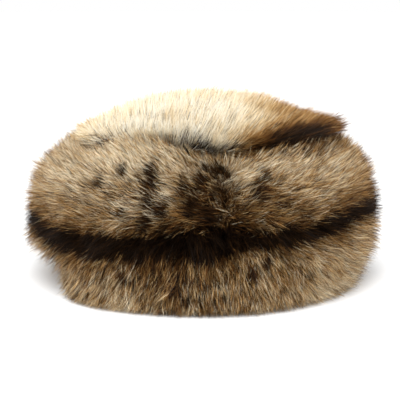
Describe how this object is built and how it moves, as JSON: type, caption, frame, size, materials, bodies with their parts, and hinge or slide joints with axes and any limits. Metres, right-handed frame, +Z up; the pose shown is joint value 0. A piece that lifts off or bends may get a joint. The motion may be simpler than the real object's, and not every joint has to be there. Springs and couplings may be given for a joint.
{
  "type": "pillbox fur hat",
  "caption": "Round brimless fur hat: a deep bulging fur side band on an oval leather wall, closed by a domed crown piece with long fur, over an open oval head hollow.",
  "frame": {"origin": "middle of the flat foot of the fur that the hat rests on", "axes": "+Z up through the crown, -Y out of the front, +X to the right seen from the front"},
  "size_m": [0.2732, 0.3052, 0.1455],
  "materials": {
    "pelt_leather": "napped flesh side",
    "band_coat": "long grizzled tan fur with a dark stripe",
    "crown_coat": "long cream fur, darker at its roots"
  },
  "bodies": {
    "root": {"band_skin": "pelt_leather", "crown_skin": "pelt_leather", "band_fur": "band_coat", "crown_fur": "crown_coat"}
  },
  "joints": []
}
